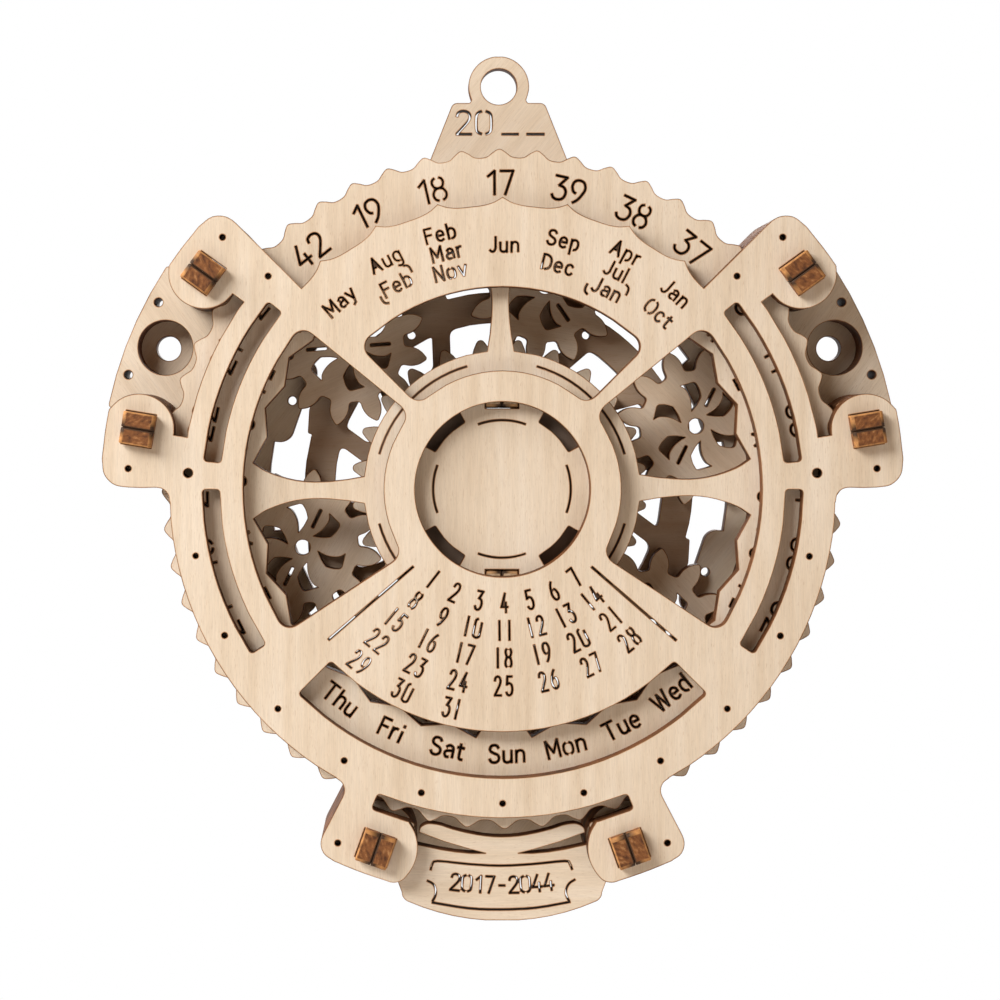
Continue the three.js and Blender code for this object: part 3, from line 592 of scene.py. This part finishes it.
def rounded(rim, radius):
    """A rim whose plain corners are turned into arcs, as the laser's beam leaves them."""
    arcs = []
    for i, corner in enumerate(rim):
        back, ahead = rim[i - 1] - corner, rim[(i + 1) % len(rim)] - corner
        bend = math.pi - back.angle(ahead)
        if not ROUND_BEND[0] < bend < ROUND_BEND[1]:
            arcs.append(corner)
            continue
        most = EDGE_SHARE * min(back.length, ahead.length)
        reach = min(radius * math.tan(bend / 2), most)
        start, end = corner + back.normalized() * reach, corner + ahead.normalized() * reach
        parts = 2 + int(bend / ROUND_STEP)
        for part in range(parts + 1):
            t = part / parts
            arcs.append(start * (1 - t) ** 2 + corner * 2 * t * (1 - t) + end * t**2)
    return arcs


# For each node: the lie of its grain, its dark and its warm painted shade for lying deep in shade,
# and how round its corners are.
FIXED_SHEETS = {
    "base_wheel": (90, 0.18, 0.6, 2.4 * MM),
    "sun_gear": (20, 0.0, 0.0, 0.0),
    "hub_spacer_1": (0, 0.7, 0.0, 0.0),
    "hub_spacer_2": (90, 0.0, 0.0, 0.0),
    "hub_spacer_3": (0, 0.85, 0.0, 0.0),
}
for node, (grain, painted_dark_shade, painted_warm_shade, soft) in FIXED_SHEETS.items():
    veneer = birch_face(node + "_veneer", grain, grain / 7 + 1, painted_dark_shade=painted_dark_shade, painted_warm_shade=painted_warm_shade)
    cut_sheet(node, "frame", veneer, soft=soft)

# ---------------------------------------------------------------- Planets
# Six loose ply gears of twelve teeth between the sun gear and the ring gear. Each has six
# crescents round an open centre and two long slits, all cut in one pass with the outline.
PLANETS = 6
GEAR_CORNER = 1.0 * MM
GEAR_TONE = 0.8
# Painted shade: the planets lie deep behind the front plate, so their faces are made warmer and
# browner.
GEAR_WARM_SHADE = 0.25
for number in range(1, PLANETS + 1):
    node = f"planet_gear_{number}"
    grain = 35 * number + 10
    veneer = birch_face(node + "_veneer", grain, number * 1.7, GEAR_TONE, painted_warm_shade=GEAR_WARM_SHADE)
    cut_sheet(node, f"planet_{number}", veneer, soft=GEAR_CORNER)

# ---------------------------------------------------------------- Retaining ring
# One plain ring of the same ply. It lies loose on the front of the six planets, goes round
# with them, and keeps them from tipping forward.
cut_sheet("planet_retaining_ring", "planet_ring", birch_face("retaining_ring_veneer", 0, 2.2))

# ---------------------------------------------------------------- Drum of the dial
# The ring gear and three plain rings of ply, glued one on another behind the dial disc, with
# the grain turned from sheet to sheet. Their faces carry painted warm shade, as they lie deep.
DRUM_WARM_SHADE = 0.35
DRUM_GRAIN = {
    "ring_gear": 90, "dial_spacer_ring_3": 0, "dial_spacer_ring_2": 90, "dial_spacer_ring_1": 0,
}
for node, grain in DRUM_GRAIN.items():
    veneer = birch_face(node + "_veneer", grain, grain / 9 + 4, painted_warm_shade=DRUM_WARM_SHADE)
    cut_sheet(node, "dial", veneer)

# ---------------------------------------------------------------- Dial disc
# The sheet that a hand turns by its wavy rim: 28 years outside, the weekdays of four weeks
# inside them, all cut right through, four spokes and a hub ring with four thin arcs.
YEARS = (
    17, 18, 19, 42, 20, 21, 22, 23, 40, 24, 25, 26, 27, 44,
    28, 29, 30, 31, 43, 32, 33, 34, 35, 41, 36, 37, 38, 39,
)
WEEKDAYS = ("Sun", "Sat", "Fri", "Thu", "Wed", "Tue", "Mon")
LABEL_STEP = 360 / len(YEARS)
LABEL_GAP = 2.4
YEAR_RADIUS = 72.1 * MM
YEAR_CAP = 5.5 * MM
YEAR_LEAN = -0.25
WEEKDAY_RADIUS = 62.35 * MM
WEEKDAY_CAP = 4.1 * MM
WEEKDAY_LEAN = -1.05
ARC_KERF = 0.34 * MM
ARC_STEPS = 14
HUB_ARC_RADIUS = 30 * MM
HUB_ARC_HALF = 29


def turned(radius, clock):
    """The point at a radius and an angle in degrees clockwise from the top."""
    angle = math.radians(90 - clock)
    return Vector((radius * math.cos(angle), radius * math.sin(angle)))


def arc_cut(radius, clock, half):
    """A thin cut along a circle round the dial's axis."""
    steps = [2 * k / ARC_STEPS - 1 for k in range(ARC_STEPS + 1)]
    return kerf([turned(radius, clock + half * step) for step in steps], ARC_KERF)


dial_cuts = []
for place, year in enumerate(YEARS):
    spot = turned(YEAR_RADIUS, YEAR_LEAN - place * LABEL_STEP)
    dial_cuts += lettering(str(year), spot, spot, YEAR_CAP, gap=LABEL_GAP)
    spot = turned(WEEKDAY_RADIUS, 180 + WEEKDAY_LEAN + place * LABEL_STEP)
    weekday = WEEKDAYS[place % len(WEEKDAYS)]
    dial_cuts += lettering(weekday, spot, -spot, WEEKDAY_CAP, gap=LABEL_GAP)
for clock in (45, 135, 225, 315):
    dial_cuts.append(arc_cut(HUB_ARC_RADIUS, clock, HUB_ARC_HALF))
cut_sheet("dial_disc", "dial", birch_face("dial_veneer", 0, 5.3), dial_cuts)

# ---------------------------------------------------------------- Hub disc
# The bare disc of ply in the middle of the hub, level with the dial. It is held by the hub
# clips, and four thin arcs are cut round its middle.
DISC_ARC_RADIUS = 16.2 * MM
DISC_ARC_HALF = 20
disc_cuts = [arc_cut(DISC_ARC_RADIUS, clock, DISC_ARC_HALF) for clock in (0, 90, 180, 270)]
cut_sheet("hub_disc", "frame", birch_face("hub_disc_veneer", 0, 6.1), disc_cuts)

# ---------------------------------------------------------------- Side plates and blocks
# Two sheets of ply on each side with the wide recess round a screw hole, and the ply packing
# blocks between them and the front plate at the ears and the feet, where the clips go through.
for side, lean in {"right": -35, "left": 35}.items():
    for sheet in ("front", "back"):
        node = f"side_plate_{side}_{sheet}"
        veneer = birch_face(node + "_veneer", lean, lean / 8 + len(sheet))
        cut_sheet(node, "frame", veneer)
    for block in ("ear_block_upper", "ear_block_lower", "foot_block"):
        node = f"{block}_{side}"
        cut_sheet(node, "frame", birch_face(node + "_veneer", lean, lean / 5))

# ---------------------------------------------------------------- Year plate
# The bottom sheet of ply: a springy arm on each side that bears on the dial's waves, and
# below them the range of years in a frame of thin cuts.
PLATE_TEXT = "2017-2044"
PLATE_TEXT_RADIUS = 93.2 * MM
PLATE_CAP = 3.85 * MM
PLATE_SQUEEZE = 0.92
PLATE_STEP = 1.6932
FINE_KERF = 0.36 * MM
FRAME_CUTS = (
    ((-16.79, -89.70), (-16.4, -88.4), (-15.15, -87.59), (-8, -88.3), (-0.43, -88.69),
     (7.3, -88.3), (14.8, -87.59), (16, -88.3), (16.52, -89.6)),
    ((-17.6, -92.2), (-16.2, -93), (-15.6, -94.4), (-15.7, -95.8), (-16.32, -97)),
    ((17.22, -91.94), (15.8, -92.9), (15.1, -94.4), (15.2, -95.8), (15.81, -96.98)),
    ((-16.44, -97.36), (-8, -98.7), (-0.43, -99.0), (8, -98.6), (16.05, -97.2)),
)
plate_cuts = [kerf(curved([Vector(p) * MM for p in line]), FINE_KERF) for line in FRAME_CUTS]
for place, digit in enumerate(PLATE_TEXT):
    spot = turned(PLATE_TEXT_RADIUS, 180 - (place - len(PLATE_TEXT) // 2) * PLATE_STEP)
    plate_cuts += lettering(digit, spot, -spot, PLATE_CAP, PLATE_SQUEEZE, width=FINE_KERF)
cut_sheet("bottom_plate", "frame", birch_face("year_plate_veneer", 90, 7.4), plate_cuts)

# ---------------------------------------------------------------- Front plate
# The fixed sheet in front: months above, days below, windows between its bars, an ear at
# each pair of clips that holds it, and a row of pin holes. The letters are cut right through.
MONTH_CAP = 3.4 * MM
TEXT_GAP = 2.9
# How far out things lie on this plate was measured in the photograph, where 4.28 pixels make
# a millimetre.
PIXEL = 1 / 4.28 * MM
# Each month: its word, degrees clockwise from the top, and pixels from the axis.
MONTHS = (
    ("May", -40.9, 248.8), ("Aug", -27.1, 257.8), ("Feb", -27.4, 231), ("Feb", -13.8, 263.5),
    ("Mar", -13.3, 243.8), ("Nov", -13.5, 224.5), ("Jun", 0.3, 245), ("Sep", 13.7, 256.7),
    ("Dec", 13.8, 231.5), ("Apr", 27.6, 267.3), ("Jul", 27.4, 246.4), ("Jan", 27.5, 225.5),
    ("Jan", 41.4, 261.5), ("Oct", 41.6, 235.5),
)
# The hooks beside the two months of a leap year, and the bends of a hook in millimetres.
LEAP_MONTHS = ((-27.4, 231), (27.5, 225.5))
LEAP_HOOK = ((4.6, 0.9), (4.6, 1.9), (4.3, 2.7), (3.5, 3.1))
# Each row of days: pixels from the axis, the row's lean, and degrees between its days.
DAY_ROWS = (
    (113.5, -0.9, 12.86), (141, -0.75, 12.95), (168.5, -0.3, 13.2),
    (196.5, -0.25, 13.3), (224.5, -0.2, 13.3),
)
DAY_CAP = 4.4 * MM
DAY_SQUEEZE = 0.56
NARROW = str.maketrans("018", "øIB")
DIVIDERS = (131, 229.2)
DIVIDER_ENDS = (118, 230)
# Pin holes: degrees from the top, pixels from the axis, and the radius of the hole.
RIM_PINS = (102.3, 117.8, 134.3, 149.8, 165, 180, 195, 210.3, 225.7, 242.3, 257.8)
RIM_PIN_REACH = 314
SMALL_PIN = 0.68 * MM
PAIRED_PINS = (
    (87, 315, 1.1 * MM), (47.7, 317, SMALL_PIN), (86.8, 375, 0.7 * MM),
    (48, 377, 0.7 * MM), (155, 390, 0.7 * MM),
)
PIN_SIDES = 14


def pin_hole(reach, clock, radius):
    """A round hole for a pin, as one patch to cut away."""
    centre = turned(reach * PIXEL, clock)
    turn = 2 * math.pi / PIN_SIDES
    spokes = [Vector((math.cos(k * turn), math.sin(k * turn))) for k in range(PIN_SIDES)]
    return [[centre + spoke * radius for spoke in spokes]]


face_cuts = []
for month, clock, reach in MONTHS:
    spot = turned(reach * PIXEL, clock)
    face_cuts += lettering(month, spot, spot, MONTH_CAP, gap=TEXT_GAP, width=FINE_KERF)
for clock, reach in LEAP_MONTHS:
    out = turned(1, clock)
    over = Vector((out.y, -out.x))
    for hand in (-1, 1):
        bends = [(over * x + out * y) * hand * MM for x, y in LEAP_HOOK]
        hook = [turned(reach * PIXEL, clock) + bend for bend in bends]
        face_cuts.append(kerf(curved(hook), FINE_KERF))
for day in range(1, 32):
    row, column = divmod(day - 1, 7)
    reach, lean, step = DAY_ROWS[row]
    spot = turned(reach * PIXEL, 180 + lean + (3 - column) * step)
    figures = str(day).translate(NARROW)
    face_cuts += lettering(figures, spot, -spot, DAY_CAP, DAY_SQUEEZE, TEXT_GAP, FINE_KERF)
for clock in DIVIDERS:
    face_cuts.append(kerf([turned(reach * PIXEL, clock) for reach in DIVIDER_ENDS]))
for clock in RIM_PINS:
    face_cuts.append(pin_hole(RIM_PIN_REACH, clock, SMALL_PIN))
for clock, reach, radius in PAIRED_PINS:
    for side in (-1, 1):
        face_cuts.append(pin_hole(reach, side * clock, radius))
cut_sheet("front_plate", "frame", birch_face("front_plate_veneer", 0, 8.7), face_cuts)

# ---------------------------------------------------------------- Clips
# Pairs of plywood pegs pushed side by side through all the sheets, which they hold together.
# Their ends stand out of the face. They were cut by the laser on every side, so they are brown
# all over, worn paler at their corners and painted lighter there as a highlight, and charred
# along the seam between the two and painted darker there for the shade of the gap.
PEG_BROWNS = (paint(80, 46, 25), paint(138, 88, 50), paint(188, 142, 94))
HUB_PEG_BROWNS = (paint(168, 138, 104), paint(210, 186, 156), paint(228, 208, 182))
PEG_WORN_AND_LIT = paint(206, 150, 92)
PEG_BEVEL = 0.3 * MM
PEG_RIM = 0.3 * MM
PEG_SEAM = 0.45 * MM
PEG_FACE = 3 * MM * MM
PEG_TURN = 23
FLAT = math.radians(1)


def peg_wood(name, turn, dark, brown, pale):
    """Plywood browned by the laser: blotches, short fibres, corners worn and painted paler as a
    highlight, and a seam charred and painted dark as the shade of the gap.
    """
    material, tree, shader, here = new_finish(name)
    place = step_node(
        tree, "Mapping", Vector=here,
        Location=(turn, 0.3, turn / 3), Rotation=(0, math.radians(turn), 0),
    ).outputs[0]
    blotch = grain_noise(tree, place, along=1.6 * MM, across=0.9 * MM)
    fibres = grain_noise(tree, place, along=2.2 * MM, across=0.16 * MM, roughness=0.65)
    wood = ramp(tree, blotch, (0.32, dark), (0.58, brown), (0.78, pale))
    wood = mix(tree, 0.6, wood, ramp(tree, fibres, (0.32, 0.62), (0.62, 1.0)), "MULTIPLY")
    # Painted highlight: bevels and rims are made paler, as wear and as light catching them.
    worn = maths(tree, "MULTIPLY", marked(tree, "worn"), maths(tree, "ADD", blotch, 0.35))
    wood = mix(tree, ramp(tree, worn, (0.35, 0.0), (0.95, 0.75)), wood, PEG_WORN_AND_LIT)
    # Painted shade: along the seam the wood is charred and darkened for the shade of the gap
    # between the pegs.
    seam_char_and_shade = maths(tree, "MULTIPLY", marked(tree, "scorch"), maths(tree, "ADD", blotch, 0.45))
    wood = mix(tree, ramp(tree, seam_char_and_shade, (0.3, 0.0), (0.8, 0.95)), wood, CHAR)
    tree.links.new(wood, shader.inputs["Base Color"])
    tree.links.new(ramp(tree, blotch, (0.3, 0.5), (0.7, 0.75)), shader.inputs["Roughness"])
    shader.inputs["Specular IOR Level"].default_value = 0.25
    relief(tree, shader, fibres, 0.5, 0.06 * MM)
    return material


for count, node in enumerate(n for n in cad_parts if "clip" in n):
    work = bmesh.new()
    work.from_mesh(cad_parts[node].data)
    bmesh.ops.remove_doubles(work, verts=work.verts, dist=FUSE)
    bmesh.ops.dissolve_limit(work, angle_limit=FLAT, verts=work.verts, edges=work.edges)
    bmesh.ops.bevel(
        work, geom=work.edges[:], offset=PEG_BEVEL, segments=2, affect="EDGES", profile=0.5
    )
    wide = [face for face in work.faces if face.calc_area() > PEG_FACE]
    bmesh.ops.inset_individual(work, faces=wide, thickness=PEG_RIM)
    work.verts.index_update()
    inner = {v.index for face in wide for v in face.verts}
    mesh = bpy.data.meshes.new(node + "_peg")
    work.to_mesh(mesh)
    work.free()
    # Bevels and rims: worn, and painted paler as a highlight.
    mark(mesh, "worn", [0.0 if v.index in inner else 1.0 for v in mesh.vertices])
    # The side toward the partner peg is marked for char and for painted shade of the gap.
    partner = node[:-1] + ("b" if node[-1] == "a" else "a")
    middles = [(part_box(n)[0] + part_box(n)[1]) / 2 for n in (node, partner)]
    toward = (middles[1] - middles[0]).normalized()
    reach = [v.co.dot(toward) for v in mesh.vertices]
    seam = max(reach) - PEG_SEAM
    mark(mesh, "scorch", [1.0 if r > seam else 0.0 for r in reach])
    browns = HUB_PEG_BROWNS if "hub" in node else PEG_BROWNS
    mesh.materials.append(peg_wood(node + "_wood", PEG_TURN * count, *browns))
    place_piece(node + "_peg", mesh, node, "frame")

# ---------------------------------------------------------------- Studio
# A round floor of pale paper well below the calendar, which fades to white at its rim, and
# white all round. Two soft lamps from the upper left, a weak one from the right and one from
# behind. The camera looks level at the front, a little left of and above the dial's axis.
FLOOR_PLACE = (0, -0.13, -0.21)
FLOOR_RADIUS = 0.41
FLOOR_SIDES = 96
FLOOR_FADE = (0.2, 0.4)
PAPER_PALE = paint(232, 230, 227)
PAPER_DIM = paint(229, 227, 224)
PAPER_GRAIN = 900.0
WHITE = (1, 1, 1, 1)
work = bmesh.new()
bmesh.ops.create_circle(work, cap_ends=True, segments=FLOOR_SIDES, radius=FLOOR_RADIUS)
floor_mesh = bpy.data.meshes.new("studio_floor")
work.to_mesh(floor_mesh)
work.free()
floor = bpy.data.objects.new("studio_floor", floor_mesh)
floor.location = FLOOR_PLACE
bpy.context.scene.collection.objects.link(floor)
paper, tree, shader, here = new_finish("studio_floor_paper")
pulp = step_node(tree, "TexNoise", Vector=here, Scale=PAPER_GRAIN, Detail=2.0).outputs["Fac"]
tree.links.new(ramp(tree, pulp, (0.3, PAPER_DIM), (0.7, PAPER_PALE)), shader.inputs["Base Color"])
shader.inputs["Roughness"].default_value = 0.9
far = step_node(tree, "VectorMath", {"operation": "LENGTH"}, Vector=here).outputs["Value"]
fade = step_node(
    tree, "MapRange", {"interpolation_type": "SMOOTHSTEP"}, Value=far,
    From_Min=FLOOR_FADE[0], From_Max=FLOOR_FADE[1],
).outputs[0]
seen = step_node(tree, "LightPath").outputs["Is Camera Ray"]
white = step_node(tree, "Emission", Color=WHITE, Strength=1.0).outputs[0]
surface = step_node(
    tree, "MixShader", i0=maths(tree, "MULTIPLY", fade, seen), i1=shader.outputs[0], i2=white
).outputs[0]
tree.links.new(surface, tree.nodes["Material Output"].inputs["Surface"])
floor_mesh.materials.append(paper)

SKY_LEVEL = 0.13
SKY_WARM = (1.0, 0.54, 0.22, 1)
world = bpy.data.worlds.new("studio")
world.use_nodes = True
bpy.context.scene.world = world
tree = world.node_tree
sky = tree.nodes["Background"]
path = step_node(tree, "LightPath").outputs
mirrored = maths(tree, "MAXIMUM", path["Is Glossy Ray"], path["Is Transmission Ray"])
seen = maths(tree, "MAXIMUM", path["Is Camera Ray"], mirrored)
level = step_node(tree, "MapRange", Value=seen, To_Min=SKY_LEVEL, To_Max=1.0).outputs[0]
tree.links.new(level, sky.inputs["Strength"])
tree.links.new(mix(tree, seen, SKY_WARM, WHITE), sky.inputs["Color"])

# Each lamp: where it stands, how wide it is, its watts and its tint. All face the calendar.
LAMPS = {
    "key_lamp": ((-0.56, -0.64, 0.5), 0.4, 5.6, (1.0, 0.975, 0.94)),
    "low_lamp": ((-0.82, -0.3, 0.56), 0.7, 12.4, (1.0, 0.965, 0.91)),
    "fill_lamp": ((0.7, -0.8, -0.1), 0.8, 1.2, (1.0, 0.87, 0.72)),
    "back_lamp": ((0.4, 0.95, 0.5), 0.8, 8.0, (1.0, 0.985, 0.96)),
}
for name, (place, size, watts, tint) in LAMPS.items():
    light = bpy.data.lights.new(name, "AREA")
    light.shape = "DISK"
    light.size = size
    light.energy = watts
    light.color = tint
    lamp = bpy.data.objects.new(name, light)
    lamp.location = place
    lamp.rotation_euler = (-Vector(place)).to_track_quat("-Z", "Y").to_euler()
    bpy.context.scene.collection.objects.link(lamp)

CAMERA_PLACE = (-0.0207, -0.5158, 0.0174)
camera = bpy.data.cameras.new("camera")
camera.sensor_width = 36
camera.lens = 75.5
camera.shift_x = 0.086
camera.shift_y = -0.085
camera.clip_start = 0.01
eye = bpy.data.objects.new("camera", camera)
eye.location = CAMERA_PLACE
eye.rotation_euler = (math.radians(90), 0, 0)
bpy.context.scene.collection.objects.link(eye)
bpy.context.scene.camera = eye
bpy.context.scene.view_settings.view_transform = "Standard"
